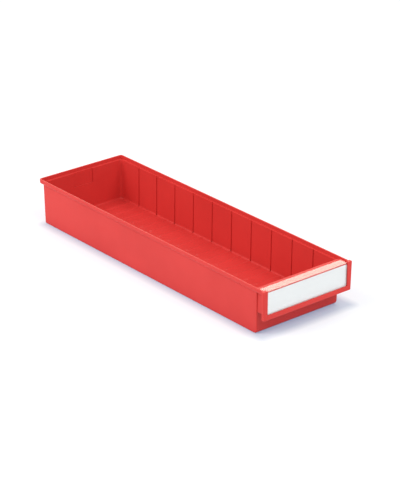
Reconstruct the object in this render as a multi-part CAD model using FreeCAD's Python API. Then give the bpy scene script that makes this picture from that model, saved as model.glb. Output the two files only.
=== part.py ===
import FreeCAD, Part
import math
import os

# Stackable storage bin: one long, low moulded tub with a raised stacking rim
# and a label panel across its front.  A printed card stands in the panel
# behind a clear cover, which folds back over the shelf behind the panel.
#
# Millimetres.  X is the width, Y the length with the front at -Y, Z is up.
# The origin is the middle of the underside of the bounding box.

# --- Overall size
LENGTH = 600.0
WIDTH = 187.6
HEIGHT = 83.0
FRONT = -LENGTH / 2
BACK = LENGTH / 2

# --- Tub: four drafted walls and a floor
TUB_HALF_WIDTH = 87.2          # outside, measured at the rim's height
TUB_FRONT = FRONT + 23.0
TUB_BACK = BACK - 5.0
WALL = 2.3
FLOOR = 2.2
DRAFT = math.radians(0.8)
TUB_EDGE_RADIUS = 2.0          # front uprights, and the bottom edge at the sides and back
TUB_FRONT_RADIUS = 7.0         # bottom edge at the front
TUB_BACK_RADIUS = 5.0          # back uprights
INNER_EDGE_RADIUS = 3.5
INNER_FRONT_RADIUS = TUB_FRONT_RADIUS - WALL
INNER_BACK_RADIUS = 6.0        # thicker than the walls here, to stiffen the corners

# --- Rim that the next bin stands in
RIM_HALF_WIDTH = 91.0
RIM_WALL = 2.2
RIM_BOTTOM = 74.3
LEDGE = 76.5                   # height of the step that carries the next bin
RIM_CORNER_RADIUS = 5.0
RIM_UNDER_RADIUS = 3.2
SOFT_EDGE = 0.8

# --- Front panel, the shelf behind it and the webs that carry it
PANEL_BOTTOM = 32.4
PANEL_BOTTOM_HALF_WIDTH = 92.3
PANEL_DEPTH = 5.5
PANEL_WALL = 2.2
PANEL_EDGE_RADIUS = 1.2
SHELF_TOP = 79.7
SHELF_THICKNESS = 2.2
WEB_OUTSIDE = 85.0
WEB_THICKNESS = 2.0
WEB_BOTTOM = 39.0

# --- Label holder: a window with a groove behind its lips, open at the top
LIP_THICKNESS = 2.0
WINDOW_HALF_WIDTH = 84.5
WINDOW_BOTTOM = 40.7
WINDOW_CORNER_RADIUS = 2.0
LIP_EDGE_RADIUS = 0.4
GROOVE_DEPTH = 1.5
GROOVE_HALF_WIDTH = 86.2
GROOVE_BOTTOM = 38.7
PLATE_FRONT = FRONT + LIP_THICKNESS + GROOVE_DEPTH

# --- Card and clear cover
CARD_THICKNESS = 0.3
CARD_HALF_WIDTH = 85.6
CARD_GAP = 0.05                # to the panel behind it
CARD_BOTTOM = GROOVE_BOTTOM + 0.1
CARD_TOP = SHELF_TOP - 1.8
CARD_CORNER_RADIUS = 1.5
COVER_THICKNESS = 0.8
COVER_HALF_WIDTH = 85.8
COVER_GAP = 0.2                # to the lips in front of it
COVER_LIFT = 0.1               # between its fold and the shelf
COVER_BOTTOM = GROOVE_BOTTOM + 0.2
COVER_BACK = TUB_FRONT - 4.8
COVER_BEND_RADIUS = 1.2
COVER_CORNER_RADIUS = 1.5

# --- Divider slots down both long walls
SLOT_COUNT = 10
SLOT_PITCH = 51.0
SLOT_WIDTH = 2.4
SLOT_DEPTH = 1.2
FIRST_SLOT_FROM_BACK_WALL = 52.3

# --- Low rounded ridges across the floor, one at each slot and one between.  They lie in
#     two rows, and ramp down to a plain strip along the middle.
RIDGE_PITCH = SLOT_PITCH / 2
RIDGE_WIDTH = 9.0
RIDGE_HEIGHT = 1.2
RIDGE_INNER_END = 28.0
RIDGE_OUTER_END = 82.0
RIDGE_RAMP = 4.0

# --- Shallow pocket inside the back wall
POCKET_HALF_WIDTH = 21.0
POCKET_BOTTOM = 50.0
POCKET_DEPTH = 1.2

SPARE = 1.0                    # how far a cutter runs past the face it opens
MIN_SHARP_ANGLE = math.radians(5)


def box(x_low, x_high, y_low, y_high, z_low, z_high):
    corner = FreeCAD.Vector(x_low, y_low, z_low)
    return Part.makeBox(x_high - x_low, y_high - y_low, z_high - z_low, corner)


def centred_box(half_width, y_low, y_high, z_low, z_high):
    return box(-half_width, half_width, y_low, y_high, z_low, z_high)


def near(value, target):
    return abs(value - target) < 1e-4


def all_at(edge, axis, target):
    """True where both ends of the edge have this coordinate on this axis."""
    return all(near(getattr(vertex.Point, axis), target) for vertex in edge.Vertexes)


def upright(edge):
    start, end = edge.Vertexes[0].Point, edge.Vertexes[-1].Point
    return near(start.x, end.x) and near(start.y, end.y)


def rounded(shape, radius, wanted):
    """Fillet every edge of the shape for which wanted(edge) is true."""
    return shape.makeFillet(radius, [edge for edge in shape.Edges if wanted(edge)])


def tapered_block(half_width, front, back, bottom, top):
    """Plain block with these sides at the rim's height, narrowing downwards by the draft."""
    low = (HEIGHT - bottom) * math.tan(DRAFT)
    high = (HEIGHT - top) * math.tan(DRAFT)
    wedge = Part.makeWedge(
        -half_width + low, bottom, -back + low, -back + high, -half_width + high,
        half_width - low, top, -front - low, -front - high, half_width - high)
    wedge.rotate(FreeCAD.Vector(0, 0, 0), FreeCAD.Vector(1, 0, 0), 90)
    return wedge


def sharp(shape, edge):
    """True where the two faces that meet at this edge aren't tangent to each other."""
    point = edge.valueAt((edge.FirstParameter + edge.LastParameter) / 2)
    normals = [face.normalAt(*face.Surface.parameter(point))
               for face in shape.ancestorsOfType(edge, Part.Face)]
    return len(normals) == 2 and normals[0].getAngle(normals[1]) > MIN_SHARP_ANGLE


def tub_block(inset, bottom, top, edge_radius, front_radius, back_radius):
    """The tub's outside, or its hollow where inset is the wall thickness."""
    block = tapered_block(TUB_HALF_WIDTH - inset, TUB_FRONT + inset, TUB_BACK - inset, bottom, top)
    height = top - bottom
    block = rounded(block, back_radius,
                    lambda edge: edge.CenterOfMass.y > 0 and edge.BoundBox.ZLength > height - SPARE)
    block = rounded(block, front_radius,
                    lambda edge: edge.CenterOfMass.y < 0 and near(edge.CenterOfMass.x, 0)
                    and all_at(edge, "z", bottom))
    return rounded(block, edge_radius, lambda edge: sharp(block, edge) and not all_at(edge, "z", top))


def rim():
    """Rim and shelf: a shallow tray whose floor is the ledge, stepped up to the shelf in front."""
    start = PLATE_FRONT
    inside = RIM_HALF_WIDTH - RIM_WALL
    inside_back = BACK - RIM_WALL

    def around(level):
        return lambda edge: all_at(edge, "z", level) and not all_at(edge, "y", start)

    block = centred_box(RIM_HALF_WIDTH, start, BACK, RIM_BOTTOM, HEIGHT)
    block = rounded(block, RIM_CORNER_RADIUS, lambda edge: upright(edge) and all_at(edge, "y", BACK))
    block = rounded(block, RIM_UNDER_RADIUS, around(RIM_BOTTOM))
    recess = centred_box(inside, TUB_FRONT + WALL, inside_back, LEDGE, HEIGHT + SPARE)
    over_shelf = centred_box(inside, start - SPARE, inside_back, SHELF_TOP, HEIGHT + SPARE)
    under_shelf = centred_box(inside, start - SPARE, TUB_FRONT, RIM_BOTTOM - SPARE,
                              SHELF_TOP - SHELF_THICKNESS)
    opening = rounded(recess.fuse(over_shelf).removeSplitter(), RIM_CORNER_RADIUS - RIM_WALL,
                      lambda edge: upright(edge) and all_at(edge, "y", inside_back))
    return rounded(block.cut([opening, under_shelf]), SOFT_EDGE, around(HEIGHT))


def holder_cutters():
    """Window, groove and the open top of the label holder."""
    lip_back = FRONT + LIP_THICKNESS
    window = centred_box(WINDOW_HALF_WIDTH, FRONT - SPARE, lip_back, WINDOW_BOTTOM, HEIGHT + SPARE)
    window = rounded(window, WINDOW_CORNER_RADIUS,
                     lambda edge: all_at(edge, "z", WINDOW_BOTTOM)
                     and near(edge.Length, SPARE + LIP_THICKNESS))
    groove = centred_box(GROOVE_HALF_WIDTH, lip_back, PLATE_FRONT, GROOVE_BOTTOM, HEIGHT + SPARE)
    above_plate = centred_box(GROOVE_HALF_WIDTH, PLATE_FRONT, FRONT + PANEL_DEPTH,
                              SHELF_TOP, HEIGHT + SPARE)
    return [window, groove, above_plate]


def panel_block(inset, y_low, y_high):
    """Plain plate in the panel's outline, which narrows downwards, drawn in by the inset."""
    low, high = PANEL_BOTTOM_HALF_WIDTH - inset, WIDTH / 2 - inset
    bottom, top = PANEL_BOTTOM + inset, HEIGHT - inset
    outline = [(-low, bottom), (low, bottom), (high, top), (-high, top)]
    corners = [FreeCAD.Vector(x, y_low, z) for x, z in outline]
    face = Part.Face(Part.makePolygon(corners + corners[:1]))
    return face.extrude(FreeCAD.Vector(0, y_high - y_low, 0))


def front_panel():
    """Panel across the front with its label holder, cored out behind its two ends to stay thin."""
    back = FRONT + PANEL_DEPTH
    panel = panel_block(0, FRONT, back)
    panel = rounded(panel, PANEL_EDGE_RADIUS, lambda edge: not all_at(edge, "y", back))
    core = panel_block(PANEL_WALL, FRONT + PANEL_WALL, back + SPARE)
    middle = centred_box(GROOVE_HALF_WIDTH + PANEL_WALL, FRONT, BACK, 0, HEIGHT)
    top = centred_box(WIDTH, FRONT, BACK, RIM_BOTTOM - SPARE, HEIGHT)
    panel = panel.cut([core.cut([middle, top])] + holder_cutters())

    def window_edge(edge):
        middle = edge.CenterOfMass
        return (all_at(edge, "y", FRONT) and abs(middle.x) < WINDOW_HALF_WIDTH + SPARE
                and middle.z > WINDOW_BOTTOM - SPARE and sharp(panel, edge))

    return rounded(panel, LIP_EDGE_RADIUS, window_edge)


def webs():
    """Two upright webs between the tub's front wall and the panel."""
    inside = WEB_OUTSIDE - WEB_THICKNESS
    y_low, y_high = FRONT + PANEL_DEPTH - SPARE, TUB_FRONT + SPARE
    top = SHELF_TOP - SPARE
    return [box(-WEB_OUTSIDE, -inside, y_low, y_high, WEB_BOTTOM, top),
            box(inside, WEB_OUTSIDE, y_low, y_high, WEB_BOTTOM, top)]


def slot_positions():
    first = TUB_BACK - WALL - FIRST_SLOT_FROM_BACK_WALL
    return [first - SLOT_PITCH * index for index in range(SLOT_COUNT)]


def slot_cutters():
    """Upright slots into both long walls, from the floor to the ledge."""
    wall_inside = TUB_HALF_WIDTH - WALL
    cutters = []
    for y in slot_positions():
        across = tapered_block(wall_inside + SLOT_DEPTH, TUB_FRONT, TUB_BACK, FLOOR, LEDGE + SPARE)
        keep = centred_box(WIDTH / 2, y - SLOT_WIDTH / 2, y + SLOT_WIDTH / 2, FLOOR, LEDGE + SPARE)
        cutters.append(across.common(keep))
    return cutters


def ridge_positions():
    """Every half slot pitch, as far as a whole ridge fits on the flat of the floor."""
    low = TUB_FRONT + WALL + INNER_FRONT_RADIUS + RIDGE_WIDTH / 2
    high = TUB_BACK - WALL - RIDGE_WIDTH / 2
    first_slot = slot_positions()[0]
    first_step = math.ceil((low - first_slot) / RIDGE_PITCH)
    last_step = math.floor((high - first_slot) / RIDGE_PITCH)
    return [first_slot + RIDGE_PITCH * step for step in range(first_step, last_step + 1)]


def floor_ridges():
    """Shallow circular segments across the floor, cut to a ramp at their inner ends."""
    top = FLOOR + RIDGE_HEIGHT
    ridges = []
    for side in (-1, 1):
        inner, outer = side * RIDGE_INNER_END, side * RIDGE_OUTER_END
        side_view = [(inner, FLOOR), (inner + side * RIDGE_RAMP, top), (outer, top), (outer, FLOOR)]
        corners = [FreeCAD.Vector(x, TUB_FRONT, z) for x, z in side_view]
        ramped = Part.Face(Part.makePolygon(corners + corners[:1]))
        ramped = ramped.extrude(FreeCAD.Vector(0, TUB_BACK - TUB_FRONT, 0))
        for y in ridge_positions():
            low = FreeCAD.Vector(inner, y - RIDGE_WIDTH / 2, FLOOR)
            crown = FreeCAD.Vector(inner, y, top)
            high = FreeCAD.Vector(inner, y + RIDGE_WIDTH / 2, FLOOR)
            end_view = Part.Wire([Part.Arc(low, crown, high).toShape(), Part.makeLine(high, low)])
            ridge = Part.Face(end_view).extrude(FreeCAD.Vector(outer - inner, 0, 0))
            ridges.append(ridge.common(ramped))
    return ridges


def pocket_cutter():
    back = TUB_BACK - WALL + POCKET_DEPTH
    return centred_box(POCKET_HALF_WIDTH, back - WALL, back, POCKET_BOTTOM, LEDGE + SPARE)


def bin_body():
    body = tub_block(0, 0, LEDGE, TUB_EDGE_RADIUS, TUB_FRONT_RADIUS, TUB_BACK_RADIUS)
    body = body.fuse([rim(), front_panel()] + webs())
    hollow = tub_block(WALL, FLOOR, HEIGHT + SPARE, INNER_EDGE_RADIUS, INNER_FRONT_RADIUS,
                       INNER_BACK_RADIUS)
    body = body.cut([hollow] + slot_cutters() + [pocket_cutter()])
    return body.fuse(floor_ridges()).removeSplitter()


def label_card():
    front = PLATE_FRONT - CARD_GAP - CARD_THICKNESS
    card = centred_box(CARD_HALF_WIDTH, front, front + CARD_THICKNESS, CARD_BOTTOM, CARD_TOP)
    return rounded(card, CARD_CORNER_RADIUS, lambda edge: near(edge.Length, CARD_THICKNESS))


def label_cover():
    """Clear sheet in front of the card, folded back over the shelf."""
    front = FRONT + LIP_THICKNESS + COVER_GAP
    top = SHELF_TOP + COVER_LIFT + COVER_THICKNESS
    outside = centred_box(COVER_HALF_WIDTH, front, COVER_BACK, COVER_BOTTOM, top)
    outside = rounded(outside, COVER_BEND_RADIUS,
                      lambda edge: all_at(edge, "y", front) and all_at(edge, "z", top))
    inside = centred_box(COVER_HALF_WIDTH + SPARE, front + COVER_THICKNESS, COVER_BACK + SPARE,
                         COVER_BOTTOM - SPARE, top - COVER_THICKNESS)
    inside = rounded(inside, COVER_BEND_RADIUS - COVER_THICKNESS,
                     lambda edge: all_at(edge, "y", front + COVER_THICKNESS)
                     and all_at(edge, "z", top - COVER_THICKNESS))
    return rounded(outside.cut(inside), COVER_CORNER_RADIUS,
                   lambda edge: near(edge.Length, COVER_THICKNESS))


NODES = {
    "bin_body": bin_body,
    "label_card": label_card,
    "label_cover": label_cover,
}

os.makedirs("parts", exist_ok=True)
for name, make in NODES.items():
    shape = make()
    size = shape.optimalBoundingBox(False)
    print(name, "solids", len(shape.Solids), "valid", shape.isValid())
    print("  volume cm3", round(shape.Volume / 1000, 2), "size mm",
          round(size.XLength, 2), round(size.YLength, 2), round(size.ZLength, 2))
    shape.exportStep(os.path.join("parts", name + ".step"))
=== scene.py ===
import bpy
import math
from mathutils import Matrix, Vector


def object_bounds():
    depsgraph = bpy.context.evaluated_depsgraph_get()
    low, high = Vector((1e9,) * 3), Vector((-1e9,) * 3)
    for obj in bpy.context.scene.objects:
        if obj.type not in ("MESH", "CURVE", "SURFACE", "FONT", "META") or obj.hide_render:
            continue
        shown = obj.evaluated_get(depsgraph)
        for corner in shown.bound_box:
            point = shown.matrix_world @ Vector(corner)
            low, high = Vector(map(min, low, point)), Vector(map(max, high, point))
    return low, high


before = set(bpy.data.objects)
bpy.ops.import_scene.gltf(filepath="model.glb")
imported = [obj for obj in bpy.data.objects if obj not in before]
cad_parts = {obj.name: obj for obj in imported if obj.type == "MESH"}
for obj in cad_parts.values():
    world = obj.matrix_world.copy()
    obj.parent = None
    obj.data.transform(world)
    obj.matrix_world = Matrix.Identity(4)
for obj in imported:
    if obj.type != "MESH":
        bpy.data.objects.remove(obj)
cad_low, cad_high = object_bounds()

# Metres, in the CAD's frame: X is the width, Y the length with the front at -Y, Z is up.
# Every piece is a CAD node.  This script gives them their materials, and sets up a white studio.

# ---------------------------------------------------------------- camera
CAMERA_AZIMUTH = math.radians(-39.53)
CAMERA_ELEVATION = math.radians(24.19)
CAMERA_DISTANCE = 3.373
CAMERA_TARGET = Vector((0.0271, 0.0, 0.0210))
CAMERA_LENS = 145.14           # on a 36 mm sensor, along the picture's long side

# ---------------------------------------------------------------- light and floor
WORLD_STRENGTH = 0.72
KEY_POWER = 52.0
FILL_POWER = 54.0
BACK_POWER = 23.0
BACK_TINT = (1.0, 0.85, 0.67)
FLOOR_HALF_SIZE = 20.0
# Painted light: the floor glows, weaker and bluish inside the rectangle below, a painted shadow under the
# object; with the warm floor colour its shadows turn bluish.
FLOOR_COLOUR = (0.50, 0.48, 0.45, 1)
FLOOR_GLOW_NEAR = (0.11, 0.21, 0.34, 1)  # inside the shaded rectangle
FLOOR_GLOW_FAR = (0.42, 0.48, 0.55, 1)
FLOOR_FADE = 0.018             # how far outside the rectangle the glow is at its full strength
# the painted shadow's rectangle
SHADE_LOW = (-0.0875, -0.290)  # the rectangle: about the object's outline, moved away from the key light
SHADE_HIGH = (0.0995, 0.285)
FLOOR_LEVEL = -0.0001          # just under the base, so that the two faces don't coincide

# ---------------------------------------------------------------- bin plastic
# Here and below, a cloud, patch, width, wave or grain is the size of the features in its noise.
RED_DEEP = (0.595, 0.0400, 0.0350, 1)
RED_LIGHT = (0.635, 0.0450, 0.0395, 1)
# paler red for rub marks and the base's worn edge, and for the painted highlight along the rim's top
RED_SCUFF_AND_HIGHLIGHT = (0.700, 0.120, 0.100, 1)
PIGMENT_CLOUD = 0.09
RUB_WIDTH = 0.0016
RUB_STRETCH = (1.0, 34.0, 1.0)  # rub marks run along the bin
RUB_PATCH = 0.05
RUB_STRENGTH = 0.25
RUB_ROUGHENS = 0.12
# the band at the rim's top, this deep, gets a painted highlight as well as polish
RIM_HIGHLIGHT_DEPTH = 0.0012
BASE_WEAR_HEIGHT = 0.0015
WEAR_AND_HIGHLIGHT_PATCH = 0.006
WEAR_AND_HIGHLIGHT_STRENGTH = 0.55
WEAR_SMOOTHS = 0.10
ROUGHNESS_PATCH = 0.018
ROUGHNESS_LEAST = 0.33
ROUGHNESS_MOST = 0.43
WALL_WAVE = 0.07
WALL_WAVE_HEIGHT = 0.0004
GRAIN = 0.0006
GRAIN_HEIGHT = 0.00003
GRAIN_STRENGTH = 0.6
PLASTIC_SPECULAR = 0.14

# ---------------------------------------------------------------- card and cover
CARD_DULL = (0.795, 0.800, 0.795, 1)
CARD_BRIGHT = (0.820, 0.825, 0.825, 1)
CARD_CLOUD = 0.004
CARD_ROUGHNESS_LEAST = 0.72
CARD_ROUGHNESS_MOST = 0.84
FIBRE_WIDTH = 0.0003
FIBRE_STRETCH = (5.0, 1.0, 1.0)  # fibres run across the bin
FIBRE_HEIGHT = 0.00002
FIBRE_STRENGTH = 0.7
FILM_TINT = (0.985, 0.99, 0.99, 1)
FILM_WAVE = 0.03
FILM_WAVE_HEIGHT = 0.0002
HAZE_PATCH = 0.012
HAZE_LEAST = 0.10
HAZE_MOST = 0.18
MIRROR_POWER = 3.5             # how steeply the cover's mirroring grows towards a slanting view
MIRROR_LEAST = 0.04


def from_direction(azimuth, elevation):
    """Unit vector from the object towards this azimuth and elevation, in radians."""
    return Vector((math.sin(azimuth) * math.cos(elevation),
                   -math.cos(azimuth) * math.cos(elevation),
                   math.sin(elevation)))


def place_facing(item, target, towards, distance):
    """Put a camera or light at this distance from the target, looking back at it."""
    item.location = target + towards * distance
    item.rotation_mode = "QUATERNION"
    item.rotation_quaternion = (-towards).to_track_quat("-Z", "Y")
    bpy.context.scene.collection.objects.link(item)


def add_camera():
    data = bpy.data.cameras.new("camera")
    data.sensor_width = 36.0
    data.lens = CAMERA_LENS
    data.clip_end = 100.0
    camera = bpy.data.objects.new("camera", data)
    place_facing(camera, CAMERA_TARGET, from_direction(CAMERA_AZIMUTH, CAMERA_ELEVATION), CAMERA_DISTANCE)
    bpy.context.scene.camera = camera


# ---------------------------------------------------------------- material helpers
class Nodes:
    """A new material's node tree, with short calls to add and join nodes."""

    def __init__(self, name):
        self.material = bpy.data.materials.new(name)
        self.material.use_nodes = True
        self.tree = self.material.node_tree
        self.tree.nodes.clear()
        self.output = self.add("ShaderNodeOutputMaterial")
        self.place = self.add("ShaderNodeTexCoord").outputs["Object"]

    def add(self, kind, inputs=(), **settings):
        node = self.tree.nodes.new(kind)
        for key, value in settings.items():
            setattr(node, key, value)
        for key, value in dict(inputs).items():
            self.feed(node.inputs[key], value)
        return node

    def feed(self, socket, value):
        if isinstance(value, bpy.types.NodeSocket):
            self.tree.links.new(value, socket)
        else:
            socket.default_value = value

    def math(self, operation, first, second=0.0):
        node = self.add("ShaderNodeMath", operation=operation)
        self.feed(node.inputs[0], first)
        self.feed(node.inputs[1], second)
        return node.outputs["Value"]

    def noise(self, cell, detail=2.0, roughness=0.5, stretch=(1.0, 1.0, 1.0)):
        """Noise whose features are about this size, longer along an axis whose stretch is over 1."""
        scale = tuple(1.0 / (cell * factor) for factor in stretch)
        place = self.add("ShaderNodeMapping", {"Vector": self.place, "Scale": scale}).outputs["Vector"]
        return self.add("ShaderNodeTexNoise", {"Vector": place, "Scale": 1.0, "Detail": detail,
                                               "Roughness": roughness}).outputs["Fac"]

    def remap(self, value, low, high, to_low=0.0, to_high=1.0):
        return self.add("ShaderNodeMapRange", {"Value": value, "From Min": low, "From Max": high,
                                               "To Min": to_low, "To Max": to_high}).outputs["Result"]

    def blend(self, factor, first, second):
        node = self.add("ShaderNodeMix", data_type="RGBA")
        colours = [socket for socket in node.inputs if socket.type == "RGBA"]
        self.feed(node.inputs["Factor"], factor)
        self.feed(colours[0], first)
        self.feed(colours[1], second)
        return next(socket for socket in node.outputs if socket.type == "RGBA")

    def bump(self, height, distance, strength=1.0, normal=None):
        node = self.add("ShaderNodeBump", {"Height": height, "Distance": distance, "Strength": strength})
        if normal is not None:
            self.feed(node.inputs["Normal"], normal)
        return node.outputs["Normal"]

    def finish(self, shader):
        self.feed(self.output.inputs["Surface"], shader)
        return self.material


def bin_plastic():
    """Satin moulded polypropylene: pigment clouds, a fine spark-eroded grain, faint rub marks,
    the base's edge polished paler where bins stack and slide, and the rim's top polished there too and
    painted paler as a highlight."""
    n = Nodes("bin_plastic")
    clouds = n.remap(n.noise(PIGMENT_CLOUD, 3.0), 0.36, 0.64)
    colour = n.blend(clouds, RED_DEEP, RED_LIGHT)
    rubs = n.remap(n.noise(RUB_WIDTH, 3.0, 0.6, stretch=RUB_STRETCH), 0.66, 0.74)
    patches = n.remap(n.noise(RUB_PATCH, 2.0), 0.52, 0.66)
    scuffs = n.math("MULTIPLY", rubs, patches)
    colour = n.blend(n.math("MULTIPLY", scuffs, RUB_STRENGTH), colour, RED_SCUFF_AND_HIGHLIGHT)
    height = n.add("ShaderNodeSeparateXYZ", {"Vector": n.place}).outputs["Z"]
    # the rim's top band: a painted highlight, paler red along the top edge, and polished
    rim_highlight = n.remap(height, cad_high.z - RIM_HIGHLIGHT_DEPTH, cad_high.z)
    base_edge = n.remap(height, BASE_WEAR_HEIGHT, 0.0)
    wear_and_rim_highlight = n.math("MULTIPLY", n.math("MAXIMUM", rim_highlight, base_edge),
                  n.remap(n.noise(WEAR_AND_HIGHLIGHT_PATCH, 3.0, 0.6), 0.3, 0.7, 0.4, 1.0))
    # paler red on the base's worn edge, and a painted highlight on the rim's top
    colour = n.blend(n.math("MULTIPLY", wear_and_rim_highlight, WEAR_AND_HIGHLIGHT_STRENGTH), colour, RED_SCUFF_AND_HIGHLIGHT)
    rough = n.remap(n.noise(ROUGHNESS_PATCH, 4.0, 0.6), 0.3, 0.7, ROUGHNESS_LEAST, ROUGHNESS_MOST)
    rough = n.math("ADD", rough, n.math("MULTIPLY", scuffs, RUB_ROUGHENS))
    rough = n.math("SUBTRACT", rough, n.math("MULTIPLY", wear_and_rim_highlight, WEAR_SMOOTHS))
    wave = n.bump(n.noise(WALL_WAVE, 1.0), WALL_WAVE_HEIGHT)
    normal = n.bump(n.noise(GRAIN, 2.0, 0.6), GRAIN_HEIGHT, GRAIN_STRENGTH, normal=wave)
    shader = n.add("ShaderNodeBsdfPrincipled", {"Base Color": colour, "Roughness": rough, "Normal": normal,
                                                "Specular IOR Level": PLASTIC_SPECULAR})
    return n.finish(shader.outputs["BSDF"])


def card_paper():
    """Smooth white card: cloudy formation, short fibres."""
    n = Nodes("card_paper")
    clouds = n.remap(n.noise(CARD_CLOUD, 3.0), 0.35, 0.65)
    colour = n.blend(clouds, CARD_DULL, CARD_BRIGHT)
    fibres = n.noise(FIBRE_WIDTH, 3.0, 0.6, stretch=FIBRE_STRETCH)
    rough = n.remap(fibres, 0.3, 0.7, CARD_ROUGHNESS_LEAST, CARD_ROUGHNESS_MOST)
    normal = n.bump(fibres, FIBRE_HEIGHT, FIBRE_STRENGTH)
    shader = n.add("ShaderNodeBsdfPrincipled", {"Base Color": colour, "Roughness": rough, "Normal": normal})
    return n.finish(shader.outputs["BSDF"])


def clear_cover():
    """Clear film: sees through, mirrors by angle, with a little haze and waviness."""
    n = Nodes("clear_cover")
    wave = n.bump(n.noise(FILM_WAVE, 1.0), FILM_WAVE_HEIGHT)
    haze = n.remap(n.noise(HAZE_PATCH, 4.0, 0.6), 0.35, 0.65, HAZE_LEAST, HAZE_MOST)
    clear = n.add("ShaderNodeBsdfTransparent", {"Color": FILM_TINT})
    gloss = n.add("ShaderNodeBsdfPrincipled", {"Base Color": (1, 1, 1, 1), "Metallic": 1.0,
                                               "Roughness": haze, "Normal": wave})
    edge_on = n.add("ShaderNodeLayerWeight", {"Blend": 0.5}).outputs["Facing"]
    mirrored = n.remap(n.math("POWER", edge_on, MIRROR_POWER), 0.0, 1.0, MIRROR_LEAST, 1.0)
    mix = n.add("ShaderNodeMixShader", {"Fac": mirrored})
    n.feed(mix.inputs[1], clear.outputs["BSDF"])
    n.feed(mix.inputs[2], gloss.outputs["BSDF"])
    return n.finish(mix.outputs["Shader"])


def floor_white():
    """Plain pale floor.  It glows, and more so outside the shaded rectangle, so that only close
    shadows show.  The weaker, bluish glow inside the rectangle is a painted shadow under the object."""
    n = Nodes("floor_white")
    axes = n.add("ShaderNodeSeparateXYZ", {"Vector": n.place}).outputs
    beyond = []
    for axis in (0, 1):
        below = n.math("SUBTRACT", SHADE_LOW[axis], axes[axis])
        above = n.math("SUBTRACT", axes[axis], SHADE_HIGH[axis])
        out = n.math("MAXIMUM", n.math("MAXIMUM", below, above), 0.0)
        beyond.append(n.math("POWER", out, 2.0))
    distance = n.math("SQRT", n.math("ADD", *beyond))
    away = n.remap(distance, 0.0, FLOOR_FADE)
    glow = n.blend(away, FLOOR_GLOW_NEAR, FLOOR_GLOW_FAR)
    shader = n.add("ShaderNodeBsdfPrincipled", {"Base Color": FLOOR_COLOUR, "Roughness": 0.9,
                                                "Specular IOR Level": 0.0,
                                                "Emission Color": glow, "Emission Strength": 1.0})
    return n.finish(shader.outputs["BSDF"])


# ---------------------------------------------------------------- studio
def add_floor():
    size = FLOOR_HALF_SIZE
    mesh = bpy.data.meshes.new("floor")
    corners = [(x, y, FLOOR_LEVEL) for x, y in ((-size, -size), (size, -size), (size, size), (-size, size))]
    mesh.from_pydata(corners, [], [(0, 1, 2, 3)])
    mesh.materials.append(floor_white())
    floor = bpy.data.objects.new("floor", mesh)
    bpy.context.scene.collection.objects.link(floor)


def add_softbox(name, azimuth, elevation, distance, size, power, tint=(1, 1, 1)):
    data = bpy.data.lights.new(name, "AREA")
    data.shape = "RECTANGLE"
    data.size, data.size_y = size
    data.energy = power
    data.color = tint
    light = bpy.data.objects.new(name, data)
    towards = from_direction(math.radians(azimuth), math.radians(elevation))
    place_facing(light, Vector((0, 0, 0)), towards, distance)


def add_world():
    world = bpy.data.worlds.new("studio")
    world.use_nodes = True
    background = world.node_tree.nodes["Background"]
    background.inputs["Color"].default_value = (1, 1, 1, 1)
    background.inputs["Strength"].default_value = WORLD_STRENGTH
    bpy.context.scene.world = world


MATERIALS = {"bin_body": bin_plastic, "label_card": card_paper, "label_cover": clear_cover}
for node, make_material in MATERIALS.items():
    material = make_material()
    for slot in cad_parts[node].material_slots:
        slot.material = material

add_world()
add_floor()
add_softbox("key", -110, 40, 3.0, (2.0, 2.0), KEY_POWER)
add_softbox("fill", 10, 50, 3.5, (2.0, 2.0), FILL_POWER)
add_softbox("back_wall", 140, 26, 3.5, (3.0, 1.6), BACK_POWER, BACK_TINT)
add_camera()
bpy.context.scene.view_settings.view_transform = "Standard"
